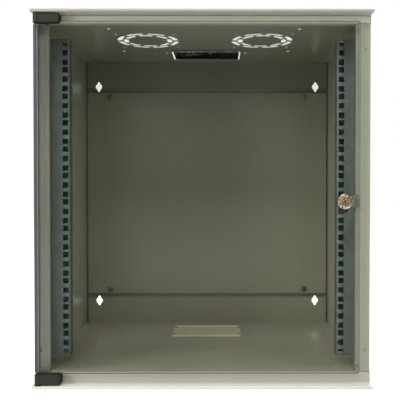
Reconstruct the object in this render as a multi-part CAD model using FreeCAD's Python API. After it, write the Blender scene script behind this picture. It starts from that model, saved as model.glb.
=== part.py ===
"""Wall mount network cabinet, 12 U, glass front door hinged on the left.

Millimetres. +X to the right, +Y to the back, +Z up. The origin lies on the ground
under the middle of the cabinet's box. Every piece is written as its own STEP file.
"""
import FreeCAD, Part
import math
import os

V = FreeCAD.Vector

# ---- overall size
width = 540.0
depth = 400.0
height = 600.0

# ---- sheet metal
side_sheet = 1.2
plate_sheet = 1.2
rear_sheet = 1.5
rail_sheet = 2.0
bend_radius = 1.0

# ---- body
overhang = 22.0             # roof and base plates reach past the body face
lip_thickness = 5.0         # of the open hems along the front of roof and base
hem_gap = 2.0               # from the end of a hem to the body face
floor_height = 15.0         # top of the raised floor
side_flange = 24.0          # front flange of a side panel
side_return = 10.0          # its return into the cabinet
side_ledge = 20.0           # top and bottom ledges of a side panel
side_ledge_inset = 16.0     # from the body face to a ledge
side_ledge_rear_gap = 4.0
top_rail_height = 12.6
bottom_rail_height = 17.0
cross_rail_return = 14.0
rear_recess = 5.0           # rear wall, in from the back plane
rear_flange = 19.0
rear_skirt = 14.0
seam_gap = 0.5              # between the side flanges and the cross rails

# ---- rear wall
panel_bottom = 81.0
panel_top_inset = 74.0      # from the panel's top edge to the top of the roof
panel_gap = 0.6
thread_clearance = 0.03
panel_joggle = 24.0         # lap of the rear members behind the panel
joggle_rise = 9.0           # height over which a member slopes back to its lap
rear_side_gap = 4.3         # from the rear members and panel to the side walls
panel_screw_inset_z = 9.5
panel_screw_inset_x = 49.0
wall_hole_inset_x = 30.0    # from the cabinet's side
wall_hole_low = 64.5        # above the ground
wall_hole_top_inset = 60.5  # below the top of the roof
wall_hole_diameter = 14.0
wall_slot_width = 5.6
wall_slot_height = 21.6

# ---- 19 inch rails
unit_height = 44.45
rail_end_room = 30.0        # least room above and below the rails
unit_hole_rise = (6.35, 22.225, 38.1)
rack_opening = 450.0
rack_hole_spacing = 465.1
square_hole = 9.5
rail_lift = 1.2             # of the rails' middle over the cabinet's
rail_setback = 48.0         # from the body face to the face of the rails
rail_face = 32.0
rail_inner_return = 18.0
rail_outer_return = 25.0
rail_rear_lip = 25.0        # turned in behind the square holes
return_hole_diameter = 5.0
return_holes_per_unit = 2

# ---- rail brackets
bracket_sheet = 2.0
bracket_height = 46.0
bracket_end_inset = 40.0    # from a rail's end to the bracket
bracket_foot = 38.0
bracket_slot = (20.0, 6.6)  # long, tall
bracket_stud_length = 9.0
bracket_bolt_pitch = 24.0
bolt_diameter = 6.0
bolt_clearance = 0.3
bolt_head_radius = 6.5
bolt_head_height = 3.0
clinch_head_radius = 4.5
clinch_head_height = 1.2
nut_height = 4.5
nut_across_flats = 10.0

# ---- roof
fan_centre_x = 107.5
fan_centre_y = -2.0
fan_hole_spacing = 105.0
fan_hole_diameter = 5.5
vent_ring_width = 8.8
vent_outer_radius = 57.4
vent_inner_radius = 45.6
vent_slots = 8
vent_bridge_angle = 9.0
accessory_spacing_x = 334.0
accessory_spacing_y = 177.0
accessory_hole_diameter = 7.5
entry_width = 141.0
entry_depth = 100.0
entry_rear_inset = 28.5     # from the entry to the back plane
entry_corner = 3.0
entry_screw_spacing = 162.0
entry_screw_diameter = 6.5
entry_screw_set = 32.5      # behind the entry's front edge

# ---- brush in the roof's cable entry
brush_holder_depth = 10.0
brush_holder_wall = 1.2
brush_end_gap = 2.5
bristle_thickness = 2.0
bristle_slot = 0.5          # between the two rows of bristle tips
bristle_front_share = 0.38

# ---- base
foot_inset_x = 12.0
foot_front_inset = 47.0
foot_rear_inset = 23.0
foot_hole_diameter = 8.5
floor_cover_depth = 87.0
floor_cover_lap = 8.0
floor_cover_sheet = 1.2
floor_cover_rib = 7.0       # raised strip along the cover's front and rear edges
floor_cover_rise = 1.5
floor_cover_screw_radius = 2.0

# ---- door
glass_right_gap = 18.0      # in from the cabinet's right side
glass_top_gap = 15.6        # from the pane to the top of the roof
glass_thickness = 4.0
glass_left_gap = 2.0        # in from the cabinet's left side
glass_bottom = 21.0
glass_gap = 4.0             # from the glass to the body face
glass_corner = 4.0
glass_edge_chamfer = 0.6
seal_wall = 0.8
seal_reach = 6.2            # onto the faces of the pane
seal_end_gap = 1.0

# ---- pivot hinge
pivot_x_inset = 9.0
pivot_forward = 14.0        # axis in front of the body face
barrel_radius = 6.2
cap_length = 41.6
cap_face = 10.7             # front of the glass to the front of the cap
cap_rear_lip = 1.7
cap_rear_end = 4.0          # from the axis to the left end of the rear lip
cap_corner = 3.0
cap_chamfer = 1.2
cap_plate_gap = 1.0         # room for the bush flange
cap_top_grip = 5.4          # laps of the caps over the front of the pane
cap_bottom_grip = 1.7
cap_top_rear_grip = 1.4     # and over its rear
cap_bottom_rear_grip = 1.0
pad_thickness = 0.5
pin_radius = 3.0
pin_clearance = 0.05
pin_depth_in_cap = 11.0
pin_end_gap = 0.5
bush_wall = 1.2
bush_flange_radius = 6.0
bush_running_gap = 0.3
bush_recess = 0.3

# ---- cam lock
lock_inset = 25.0           # from the glass's right edge
lock_drop = 3.0             # below the cabinet's middle
lock_barrel_radius = 9.5
lock_hole_gap = 0.3
bezel_radius = 12.5
bezel_height = 3.2
gasket_height = 0.6
washer_height = 0.8
lock_nut_height = 3.0
lock_nut_flats = 23.0
plug_radius = 6.0
plug_clearance = 0.05
plug_head_radius = 7.4
plug_head_height = 1.4
plug_head_gap = 0.3
key_slot = (1.4, 7.0, 6.0)  # wide, tall, deep
cam_gap = 0.3
cam_thickness = 2.5
cam_width = 14.0
cam_reach = 18.2
cam_square = 6.0
cam_screw_radius = 4.5
cam_screw_height = 2.6
strike_sheet = 1.5
strike_height = 20.0
strike_lap = 5.5            # past the side flange's inner edge
strike_base = 6.0
rivet_radius = 2.5
rivet_head = 1.0

# ---- small parts on the side flanges
flange_stud_inset = 8.5
flange_stud_rise = 57.0     # above the ground, and below the top less the next value
flange_stud_drop = 2.0
flange_stud_radius = 3.0
flange_stud_proud = 0.3
buffer_radius = 2.5
buffer_inset = 0.6          # from the flange's inner edge
buffer_rest_gap = 0.3
buffer_inset_z = 11.0       # from the pane's bottom edge
buffer_drop_z = 13.4        # from the pane's top edge

# ---- places worked out from the sizes above
half = width / 2
front_y = -depth / 2
back_y = depth / 2
face_y = front_y + overhang
wall_in = half - side_sheet
flange_edge = half - side_flange
roof_under = height - lip_thickness
roof_top = roof_under + plate_sheet
hem_back = face_y - hem_gap
top_rail_bottom = roof_under - top_rail_height
bottom_rail_top = lip_thickness + bottom_rail_height
rear_out = back_y - rear_recess
rear_in = rear_out - rear_sheet
rear_edge = wall_in - rear_side_gap
panel_top = height - panel_top_inset
wall_hole_x = half - wall_hole_inset_x
wall_hole_high = height - wall_hole_top_inset
rail_y = face_y + rail_setback
rail_in = rack_opening / 2
rail_out = rail_in + rail_face
rack_units = int((height - 2 * rail_end_room) / unit_height)
rail_height = rack_units * unit_height
rail_bottom = (height - rail_height) / 2 + rail_lift
hole_x = rack_hole_spacing / 2
entry_back_y = back_y - entry_rear_inset
entry_front_y = entry_back_y - entry_depth
entry_screw_y = entry_front_y + entry_screw_set
foot_spacing_x = width - 2 * foot_inset_x
foot_spacing_y = depth - foot_front_inset - foot_rear_inset
foot_middle_y = (foot_front_inset - foot_rear_inset) / 2
glass_left = -half + glass_left_gap
glass_right = half - glass_right_gap
glass_top = height - glass_top_gap
glass_back_y = face_y - glass_gap
glass_front_y = glass_back_y - glass_thickness
pivot_x = -half + pivot_x_inset
pivot_y = face_y - pivot_forward
cap_left = pivot_x - barrel_radius
cap_right = cap_left + cap_length
cap_top = roof_under - cap_plate_gap
cap_low = lip_thickness + cap_plate_gap
lock_x = glass_right - lock_inset
lock_z = height / 2 - lock_drop
flange_stud_heights = (flange_stud_rise, height - flange_stud_rise - flange_stud_drop)
buffer_heights = (glass_bottom + buffer_inset_z, glass_top - buffer_drop_z)


def box(x0, x1, y0, y1, z0, z1):
    """Box from its two corners, in any order."""
    lx, hx = sorted((x0, x1))
    ly, hy = sorted((y0, y1))
    lz, hz = sorted((z0, z1))
    return Part.makeBox(hx - lx, hy - ly, hz - lz, V(lx, ly, lz))


def cylinder(radius, start, axis, length):
    return Part.makeCylinder(radius, length, V(*start), V(*axis))


def prism(outline, direction):
    """Solid swept from a closed outline of points."""
    points = [V(*p) for p in outline]
    wire = Part.makePolygon(points + points[:1])
    return Part.Face(wire).extrude(V(*direction))


def joined(shapes):
    """One solid from pieces that meet, with the seams between flush faces removed."""
    whole = shapes[0].fuse(shapes[1:]) if len(shapes) > 1 else shapes[0]
    return whole.removeSplitter()


def without(shape, tools):
    return shape.cut(tools).removeSplitter()


def mirror_x(shape):
    return shape.mirror(V(0, 0, 0), V(1, 0, 0))


def rounded_run(points, radii):
    """Edges along a run of 2D points, with an arc of the given radius at each inner point."""
    edges = []
    start = V(points[0][0], points[0][1], 0)
    for i in range(1, len(points) - 1):
        corner = V(points[i][0], points[i][1], 0)
        back = (V(points[i - 1][0], points[i - 1][1], 0) - corner).normalize()
        ahead = (V(points[i + 1][0], points[i + 1][1], 0) - corner).normalize()
        half_angle = back.getAngle(ahead) / 2
        reach = radii[i - 1] / math.tan(half_angle)
        to_centre = (back + ahead).normalize()
        centre = corner + to_centre * (radii[i - 1] / math.sin(half_angle))
        first = corner + back * reach
        last = corner + ahead * reach
        middle = centre - to_centre * radii[i - 1]
        edges.append(Part.LineSegment(start, first).toShape())
        edges.append(Part.Arc(first, middle, last).toShape())
        start = last
    end = V(points[-1][0], points[-1][1], 0)
    edges.append(Part.LineSegment(start, end).toShape())
    return edges


def folded_section(points, sheet, radius=bend_radius):
    """Face of a bent sheet: the points run along one side, the sheet lies to their left."""
    offset = []
    left_radii = []
    right_radii = []
    count = len(points)
    for i in range(count):
        here = V(points[i][0], points[i][1], 0)
        before = (here - V(*points[i - 1], 0)).normalize() if i else None
        after = (V(*points[i + 1], 0) - here).normalize() if i < count - 1 else None
        first = before or after
        second = after or before
        normal_a = V(-first.y, first.x, 0)
        normal_b = V(-second.y, second.x, 0)
        mitre = (normal_a + normal_b).normalize()
        shift = here + mitre * (sheet / mitre.dot(normal_a))
        offset.append((shift.x, shift.y))
        if 0 < i < count - 1:
            turns_left = first.x * second.y - first.y * second.x > 0
            left_radii.append(radius if turns_left else radius + sheet)
            right_radii.append(radius + sheet if turns_left else radius)
    right = rounded_run(points, right_radii)
    left = rounded_run(offset, left_radii)
    ends = [Part.makeLine(V(*points[0], 0), V(*offset[0], 0)),
            Part.makeLine(V(*points[-1], 0), V(*offset[-1], 0))]
    wire = Part.Wire(Part.__sortEdges__(right + left + ends))
    return Part.Face(wire)


def folded_upright(points, sheet, low, high):
    """Bent sheet standing along Z: section points are (x, y)."""
    face = folded_section(points, sheet)
    face.translate(V(0, 0, low))
    return face.extrude(V(0, 0, high - low))


def folded_across(points, sheet, left, right):
    """Bent sheet lying along X: section points are (y, z)."""
    face = folded_section(points, sheet)
    face.rotate(V(0, 0, 0), V(1, 1, 1), 120)
    face.translate(V(left, 0, 0))
    return face.extrude(V(right - left, 0, 0))


def rounded_plate(x0, x1, y0, y1, z0, z1, radius):
    """Flat plate with its four upright corners rounded."""
    plate = box(x0, x1, y0, y1, z0, z1)
    upright = [e for e in plate.Edges if abs(e.tangentAt(0).z) > 0.99]
    return plate.makeFillet(radius, upright)


def hexagon(flats, centre, axis_letter, length):
    """Hexagonal prism along X or Y from its centre point."""
    radius = flats / math.sqrt(3)
    ring = [(radius * math.cos(math.radians(60 * k + 30)),
             radius * math.sin(math.radians(60 * k + 30))) for k in range(6)]
    x, y, z = centre
    if axis_letter == "x":
        return prism([(x, y + a, z + b) for a, b in ring], (length, 0, 0))
    return prism([(x + a, y, z + b) for a, b in ring], (0, length, 0))


def arc_slot(x, y, inner, outer, start, sweep, low, high):
    """Ring sector with flat ends, cut right through a plate."""
    ring = cylinder(outer, (x, y, low), (0, 0, 1), high - low)
    ring = ring.cut(cylinder(inner, (x, y, low), (0, 0, 1), high - low))
    reach = outer * 1.5
    wedge = [(x, y, low)]
    for k in range(3):
        angle = math.radians(start + sweep * k / 2)
        wedge.append((x + reach * math.cos(angle), y + reach * math.sin(angle), low))
    return ring.common(prism(wedge, (0, 0, high - low)))


def fan_cuts(x, low, high):
    """Two rings of staggered arc slots and the four fixing holes of one fan."""
    cuts = []
    pitch = 360.0 / vent_slots
    rings = ((vent_outer_radius, 0.0), (vent_inner_radius, pitch / 2))
    for outer, turn in rings:
        for k in range(vent_slots):
            start = turn + k * pitch + vent_bridge_angle / 2
            sweep = pitch - vent_bridge_angle
            cuts.append(arc_slot(x, fan_centre_y, outer - vent_ring_width, outer, start, sweep,
                                 low, high))
    cuts += rectangle_holes(x, fan_centre_y, fan_hole_spacing, fan_hole_spacing,
                            fan_hole_diameter / 2, low, high)
    return cuts


def rectangle_holes(x, y, spacing_x, spacing_y, radius, low, high):
    """Four upright hole cutters at the corners of a rectangle."""
    return [cylinder(radius, (x + sx * spacing_x / 2, y + sy * spacing_y / 2, low),
                     (0, 0, 1), high - low)
            for sx in (-1, 1) for sy in (-1, 1)]


# ---------------------------------------------------------------- cabinet body
def lip_nose(low):
    """Half-round fold at the front of a lip, from its one sheet round to the other."""
    radius = lip_thickness / 2
    centre = (-half, front_y + radius, low + radius)
    nose = cylinder(radius, centre, (1, 0, 0), width)
    nose = nose.cut(cylinder(radius - plate_sheet, centre, (1, 0, 0), width))
    return nose.common(box(-half, half, front_y - 1, front_y + radius,
                           low - 1, low + lip_thickness + 1))


def roof_panel():
    """Top plate with an open hem turned up in front, a rear skirt, vents and a cable entry."""
    start = front_y + lip_thickness / 2
    section = [(back_y, roof_top - rear_skirt), (back_y, roof_top), (start, roof_top)]
    sheet = folded_across(section, plate_sheet, -half, half)
    hem = box(-half, half, start, hem_back, height - plate_sheet, height)
    plate = joined([sheet, lip_nose(roof_under), hem])
    low, high = roof_under - 1, height + 1
    cuts = fan_cuts(-fan_centre_x, low, high) + fan_cuts(fan_centre_x, low, high)
    cuts += rectangle_holes(0, fan_centre_y, accessory_spacing_x, accessory_spacing_y,
                            accessory_hole_diameter / 2, low, high)
    for side in (-1, 1):
        cuts.append(cylinder(entry_screw_diameter / 2,
                             (side * entry_screw_spacing / 2, entry_screw_y, low),
                             (0, 0, 1), high - low))
    cuts.append(rounded_plate(-entry_width / 2, entry_width / 2, entry_front_y, entry_back_y,
                              low, high, entry_corner))
    cuts.append(cylinder(pin_radius + pin_clearance + bush_wall, (pivot_x, pivot_y, low),
                         (0, 0, 1), high - low))
    return without(plate, cuts)


def base_panel():
    """Raised floor pan with rims to the ground and an open hem in front, like the roof's."""
    riser_y = face_y + side_sheet + bend_radius
    start = front_y + lip_thickness / 2
    lip_sheet = lip_thickness - plate_sheet
    pan_section = [(start, lip_sheet), (riser_y + plate_sheet, lip_sheet),
                   (riser_y + plate_sheet, floor_height - plate_sheet),
                   (back_y - plate_sheet, floor_height - plate_sheet),
                   (back_y - plate_sheet, 0)]
    pan = folded_across(pan_section, plate_sheet, -wall_in, wall_in)
    lip = box(-half, half, start, face_y, lip_sheet, lip_thickness)
    hem = box(-half, half, start, hem_back, 0, plate_sheet)
    rims = [box(s * wall_in, s * (wall_in - plate_sheet), riser_y + 2 * plate_sheet,
                back_y - 2 * plate_sheet, 0, floor_height - plate_sheet) for s in (-1, 1)]
    pan = joined([pan, lip, hem, lip_nose(0)] + rims)
    low, high = -1, floor_height + 1
    side = entry_width / 2 - floor_cover_lap
    cuts = [rounded_plate(-side, side, entry_front_y + floor_cover_lap,
                          entry_front_y + floor_cover_depth - floor_cover_lap,
                          low, high, entry_corner)]
    cuts += [cylinder(floor_cover_screw_radius, (x, y, low), (0, 0, 1), high - low)
             for x, y in floor_cover_screw_places()]
    cuts += rectangle_holes(0, foot_middle_y, foot_spacing_x, foot_spacing_y,
                            foot_hole_diameter / 2, floor_height - 2 * plate_sheet, high)
    cuts.append(cylinder(pin_radius + pin_clearance + bush_wall, (pivot_x, pivot_y, low),
                         (0, 0, 1), lip_thickness + 2))
    return without(pan, cuts)


def floor_cover_screw_places():
    x = entry_width / 2 - floor_cover_lap / 2
    reach = floor_cover_depth / 2 - floor_cover_rib - floor_cover_lap
    middle = entry_front_y + floor_cover_depth / 2
    return [(s * x, middle + t * reach) for s in (-1, 1) for t in (-1, 1)]


def floor_cover():
    """Cover over the floor's cable entry, with a raised strip along two edges."""
    x = entry_width / 2
    y0 = entry_front_y
    y1 = entry_front_y + floor_cover_depth
    top = floor_height + floor_cover_sheet
    rib_top = top + floor_cover_rise
    plate = box(-x, x, y0, y1, floor_height, top)
    upright = [e for e in plate.Edges if abs(e.tangentAt(0).z) > 0.99]
    plate = plate.makeFillet(entry_corner, upright)
    ribs = []
    for edge, inward in ((y0, 1), (y1, -1)):
        start = edge + inward * floor_cover_sheet
        rib = box(entry_corner - x, x - entry_corner, start, edge + inward * floor_cover_rib,
                  top, rib_top)
        tops = [e for e in rib.Edges if e.BoundBox.ZMin > rib_top - 1e-6
                and e.BoundBox.XLength > x]
        ribs.append(rib.makeFillet(floor_cover_rise * 0.8, tops))
    cuts = [cylinder(floor_cover_screw_radius, (sx, sy, floor_height - 1), (0, 0, 1),
                     floor_cover_sheet + 2) for sx, sy in floor_cover_screw_places()]
    return without(joined([plate] + ribs), cuts)


def floor_cover_screws():
    screws = []
    top = floor_height + floor_cover_sheet
    for x, y in floor_cover_screw_places():
        head = Part.makeCone(2 * floor_cover_screw_radius, floor_cover_screw_radius * 1.3,
                             floor_cover_screw_radius * 0.7, V(x, y, top))
        shank = cylinder(floor_cover_screw_radius - thread_clearance,
                         (x, y, floor_height - 2 * plate_sheet), (0, 0, 1),
                         2 * plate_sheet + floor_cover_sheet)
        screws.append(joined([head, shank]))
    return Part.makeCompound(screws)


def side_panel_right():
    """Folded side: front flange with return, plain wall, rear flange, top and bottom ledges."""
    low = bottom_rail_top + seam_gap
    high = top_rail_bottom - seam_gap
    rear_y = rear_out + rear_sheet + side_sheet
    section = [(flange_edge, face_y + side_return), (flange_edge, face_y), (half, face_y),
               (half, rear_y), (half - rear_flange, rear_y)]
    shell = folded_upright(section, side_sheet, low, high)
    ends = [folded_upright(section[2:], side_sheet, z0, z1)
            for z0, z1 in ((floor_height, low), (high, roof_under))]
    ends.append(box(wall_in, half, face_y, rear_y, plate_sheet, floor_height))
    ledge_y0 = face_y + side_ledge_inset
    ledge_y1 = rear_in - side_ledge_rear_gap
    ledges = [box(wall_in + side_sheet / 2, wall_in - side_ledge, ledge_y0, ledge_y1,
                  roof_under - side_sheet, roof_under),
              box(wall_in + side_sheet / 2, wall_in - side_ledge, ledge_y0, ledge_y1,
                  floor_height, floor_height + side_sheet)]
    panel = joined([shell] + ends + ledges)
    foot_cuts = rectangle_holes(0, foot_middle_y, foot_spacing_x, foot_spacing_y,
                                foot_hole_diameter / 2, floor_height - 1,
                                floor_height + side_sheet + 1)
    stud_cuts = [cylinder(flange_stud_radius * 0.8, (half - flange_stud_inset, face_y - 1, z),
                          (0, 1, 0), side_sheet + 2) for z in flange_stud_heights]
    return without(panel, foot_cuts + stud_cuts)


def front_top_rail():
    """Channel under the roof between the side panels, open to the back."""
    section = [(face_y + cross_rail_return, top_rail_bottom), (face_y, top_rail_bottom),
               (face_y, roof_under), (face_y + cross_rail_return, roof_under)]
    return folded_across(section[::-1], side_sheet, -wall_in, wall_in)


def front_bottom_rail():
    """Apron in front of the floor's riser, folded back over the floor and down onto it."""
    section = [(face_y, lip_thickness), (face_y, bottom_rail_top),
               (face_y + cross_rail_return, bottom_rail_top),
               (face_y + cross_rail_return, floor_height)]
    return folded_across(section[::-1], side_sheet, -wall_in, wall_in)


def wall_hole(x, z):
    """Double-ended keyhole through the rear wall: a round middle with a slot up and down."""
    y0 = rear_in - 1
    length = rear_sheet + rear_recess
    slot_reach = wall_slot_height / 2 - wall_slot_width / 2
    cut = cylinder(wall_hole_diameter / 2, (x, y0, z), (0, 1, 0), length)
    slot = box(x - wall_slot_width / 2, x + wall_slot_width / 2, y0, y0 + length,
               z - slot_reach, z + slot_reach)
    tips = [cylinder(wall_slot_width / 2, (x, y0, z + s * slot_reach), (0, 1, 0), length)
            for s in (-1, 1)]
    return cut.fuse([slot] + tips).removeSplitter()


def rear_member(panel_edge, far_edge, direction):
    """Cross member with wall holes, sloping back to a lap behind the edge of the rear panel."""
    edge = panel_edge + direction * panel_gap
    slope = edge + direction * joggle_rise
    lap = edge - direction * panel_joggle
    outline = [(rear_in, far_edge), (rear_in, slope), (rear_out, edge), (rear_out, lap),
               (rear_out + rear_sheet, lap), (rear_out + rear_sheet, edge),
               (rear_out, slope), (rear_out, far_edge)]
    member = prism([(-rear_edge, y, z) for y, z in outline], (2 * rear_edge, 0, 0))
    hole_z = wall_hole_high if direction > 0 else wall_hole_low
    cuts = [wall_hole(s * wall_hole_x, hole_z) for s in (-1, 1)]
    for x, z in panel_screw_places():
        cuts.append(cylinder(bolt_diameter / 2 + thread_clearance, (x, rear_in, z), (0, 1, 0),
                             3 * rear_sheet))
    return without(member, cuts)


def panel_screw_places():
    xs = rear_edge - panel_screw_inset_x
    return [(s * xs, z) for s in (-1, 1)
            for z in (panel_bottom + panel_screw_inset_z, panel_top - panel_screw_inset_z)]


def rear_panel():
    """Removable sheet between the rear members."""
    edge = rear_edge
    panel = box(-edge, edge, rear_in, rear_out, panel_bottom, panel_top)
    corners = [e for e in panel.Edges if abs(e.tangentAt(0).y) > 0.99]
    panel = panel.makeFillet(bend_radius * 3, corners)
    cuts = [cylinder(bolt_diameter / 2 + bolt_clearance, (x, rear_in - 1, z), (0, 1, 0),
                     rear_sheet + 2) for x, z in panel_screw_places()]
    return without(panel, cuts)


def rear_panel_screws():
    """Four pan head screws driven from inside."""
    screws = []
    for x, z in panel_screw_places():
        head = cylinder(bolt_head_radius, (x, rear_in - bolt_head_height, z), (0, 1, 0),
                        bolt_head_height)
        rim = [e for e in head.Edges if abs(e.BoundBox.YMax - (rear_in - bolt_head_height)) < 1e-6
               and e.BoundBox.YLength < 1e-6]
        head = head.makeFillet(bolt_head_height * 0.45, rim)
        shank = cylinder(bolt_diameter / 2, (x, rear_in, z), (0, 1, 0),
                         2 * rear_sheet)
        slot = box(x - bolt_head_radius * 0.6, x + bolt_head_radius * 0.6,
                   rear_in - bolt_head_height - 1, rear_in - bolt_head_height / 2, z - 0.6, z + 0.6)
        cross = slot.copy()
        cross.rotate(V(x, 0, z), V(0, 1, 0), 90)
        screws.append(joined([head, shank]).cut([slot, cross]))
    return Part.makeCompound(screws)


# ---------------------------------------------------------------- 19 inch rails
def rack_rail_right():
    """C-shaped rail with three square holes in each unit and small ones in its inner return."""
    rear = rail_y + rail_outer_return
    section = [(rail_in, rail_y + rail_inner_return), (rail_in, rail_y), (rail_out, rail_y),
               (rail_out, rear), (rail_out - rail_rear_lip, rear)]
    rail = folded_upright(section, rail_sheet, rail_bottom, rail_bottom + rail_height)
    cuts = []
    for unit in range(rack_units):
        base = rail_bottom + unit * unit_height
        for rise in unit_hole_rise:
            z = base + rise
            cuts.append(box(hole_x - square_hole / 2, hole_x + square_hole / 2,
                            rail_y - 1, rail_y + rail_sheet + 1,
                            z - square_hole / 2, z + square_hole / 2))
        for k in range(return_holes_per_unit):
            z = base + unit_height * (k + 0.5) / return_holes_per_unit
            cuts.append(cylinder(return_hole_diameter / 2,
                                 (rail_in - 1, rail_y + rail_inner_return * 0.6, z),
                                 (1, 0, 0), rail_sheet + 2))
    for y, z in bracket_bolt_places():
        cuts.append(cylinder(bolt_diameter / 2 + bolt_clearance, (rail_out - rail_sheet - 1, y, z),
                             (1, 0, 0), rail_sheet + 2))
    return without(rail, cuts)


def bracket_middles():
    """Heights of the lower and upper bracket of a rail."""
    low = rail_bottom + bracket_end_inset + bracket_height / 2
    return (low, 2 * rail_bottom + rail_height - low)


def bracket_bolt_places():
    y = rail_y + rail_outer_return / 2
    return [(y, z + s * bracket_bolt_pitch / 2) for z in bracket_middles() for s in (-1, 1)]


def rail_bracket_right(middle):
    """Z bracket from the rail's outer return to the side panel's wall."""
    start = rail_y + 2 * rail_sheet
    step = rail_y + rail_outer_return + bracket_sheet
    section = [(rail_out, start), (rail_out, step), (wall_in - bracket_sheet, step),
               (wall_in - bracket_sheet, step + bracket_foot)]
    low = middle - bracket_height / 2
    bracket = folded_upright(section[::-1], bracket_sheet, low, low + bracket_height)
    cuts = [cylinder(bolt_diameter / 2 + bolt_clearance, (rail_out - 1, y, z), (1, 0, 0),
                     bracket_sheet + 2) for y, z in bracket_bolt_places()]
    long, tall = bracket_slot
    reach = (long - tall) / 2
    x = wall_in - bracket_sheet - 1
    for y, z in bracket_stud_places():
        cuts.append(box(x, x + bracket_sheet + 2, y - reach, y + reach, z - tall / 2, z + tall / 2))
        cuts += [cylinder(tall / 2, (x, y + s * reach, z), (1, 0, 0), bracket_sheet + 2)
                 for s in (-1, 1)]
    return without(bracket, cuts)


def bracket_stud_places():
    y = rail_y + rail_outer_return + bracket_sheet + bracket_foot / 2
    return [(y, z + s * bracket_bolt_pitch / 2) for z in bracket_middles() for s in (-1, 1)]


def bracket_studs():
    """Studs welded to the side walls, through the slots of the rail brackets."""
    studs = []
    for y, z in bracket_stud_places():
        stud = cylinder(bolt_diameter / 2, (wall_in, y, z), (-1, 0, 0), bracket_stud_length)
        studs += [stud, mirror_x(stud)]
    return Part.makeCompound(studs)


def bracket_nuts():
    """Flange nuts on the studs."""
    nuts = []
    for y, z in bracket_stud_places():
        start = wall_in - bracket_sheet
        flange = cylinder(bolt_head_radius + 1, (start, y, z), (-1, 0, 0), 1)
        body = hexagon(nut_across_flats, (start - 1, y, z), "x", -nut_height)
        bore = cylinder(bolt_diameter / 2, (start + 1, y, z), (-1, 0, 0), nut_height + 3)
        nut = joined([flange, body]).cut(bore)
        nuts += [nut, mirror_x(nut)]
    return Part.makeCompound(nuts)


def rail_bolts():
    """Clinch studs in the outer returns of both rails, with low heads inside the rails."""
    bolts = []
    for y, z in bracket_bolt_places():
        inner = rail_out - rail_sheet
        head = cylinder(clinch_head_radius, (inner - clinch_head_height, y, z), (1, 0, 0),
                        clinch_head_height)
        shank = cylinder(bolt_diameter / 2, (inner, y, z), (1, 0, 0),
                         rail_sheet + bracket_sheet + nut_height + 1)
        bolt = joined([head, shank])
        bolts += [bolt, mirror_x(bolt)]
    return Part.makeCompound(bolts)


def rail_nuts():
    nuts = []
    for y, z in bracket_bolt_places():
        start = rail_out + bracket_sheet
        nut = hexagon(nut_across_flats, (start, y, z), "x", nut_height)
        nut = nut.cut(cylinder(bolt_diameter / 2, (start - 1, y, z), (1, 0, 0), nut_height + 2))
        nuts += [nut, mirror_x(nut)]
    return Part.makeCompound(nuts)


# ---------------------------------------------------------------- roof brush
def bristle_length(share):
    return (entry_depth - bristle_slot) * share


def brush_holder(edge_y, direction):
    """Channel on the roof beside the entry, open towards it and holding the bristles."""
    end = entry_width / 2 - brush_end_gap
    outer = edge_y - direction * brush_holder_depth
    room = (height - roof_top - bristle_thickness) / 2
    body = box(-end, end, outer, edge_y, roof_top, height)
    groove = box(-end, end, outer + direction * brush_holder_wall, edge_y,
                 roof_top + room, height - room)
    return body.cut(groove)


def bristles(edge_y, direction, share):
    """Block of bristles from the holder's groove to the tips."""
    end = entry_width / 2 - brush_end_gap
    root = edge_y - direction * (brush_holder_depth - brush_holder_wall)
    tip = edge_y + direction * bristle_length(share)
    room = (height - roof_top - bristle_thickness) / 2
    return box(-end, end, root, tip, roof_top + room, height - room)


# ---------------------------------------------------------------- flange parts
def flange_studs():
    """Low domed plugs in both front flanges."""
    studs = []
    for z in flange_stud_heights:
        x = half - flange_stud_inset
        head_drop = flange_stud_proud
        dome_radius = (flange_stud_radius ** 2 + head_drop ** 2) / (2 * head_drop)
        dome = Part.makeSphere(dome_radius, V(x, face_y - head_drop + dome_radius, z))
        keep = box(x - dome_radius, x + dome_radius, face_y - 2 * head_drop, face_y,
                   z - dome_radius, z + dome_radius)
        shank = cylinder(flange_stud_radius * 0.8, (x, face_y, z), (0, 1, 0), side_sheet * 2)
        stud = joined([dome.common(keep), shank])
        studs += [stud, mirror_x(stud)]
    return Part.makeCompound(studs)


def door_buffers():
    """Soft pads on the right flange that the closed glass stops against."""
    x = flange_edge + buffer_inset + buffer_radius
    pads = [cylinder(buffer_radius, (x, face_y, z), (0, -1, 0), glass_gap - buffer_rest_gap)
            for z in buffer_heights]
    return Part.makeCompound(pads)


def strike_plate():
    """Plate on the right flange whose lip the lock's cam turns behind."""
    left = flange_edge - strike_lap
    right = flange_edge + strike_base
    plate = box(left, right, face_y - strike_sheet, face_y,
                lock_z - strike_height / 2, lock_z + strike_height / 2)
    corners = [e for e in plate.Edges if abs(e.tangentAt(0).y) > 0.99]
    return plate.makeFillet(bend_radius, corners)


def strike_rivets():
    rivets = []
    x = flange_edge + strike_base / 2
    for s in (-1, 1):
        z = lock_z + s * strike_height / 3
        rivets.append(cylinder(rivet_radius, (x, face_y - strike_sheet - rivet_head, z), (0, 1, 0),
                               rivet_head))
    return Part.makeCompound(rivets)


# ---------------------------------------------------------------- door
def door_glass():
    """Frameless pane with polished edges and the lock hole."""
    pane = box(glass_left, glass_right, glass_front_y, glass_back_y, glass_bottom, glass_top)
    corners = [e for e in pane.Edges if abs(e.tangentAt(0).y) > 0.99]
    pane = pane.makeFillet(glass_corner, corners)
    rims = [e for e in pane.Edges
            if min(abs(e.BoundBox.YMax - glass_front_y), abs(e.BoundBox.YMin - glass_back_y)) < 1e-6]
    pane = pane.makeChamfer(glass_edge_chamfer, rims)
    hole = cylinder(lock_barrel_radius + lock_hole_gap, (lock_x, glass_front_y - 1, lock_z),
                    (0, 1, 0), glass_thickness + 2)
    return without(pane, [hole])


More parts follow.
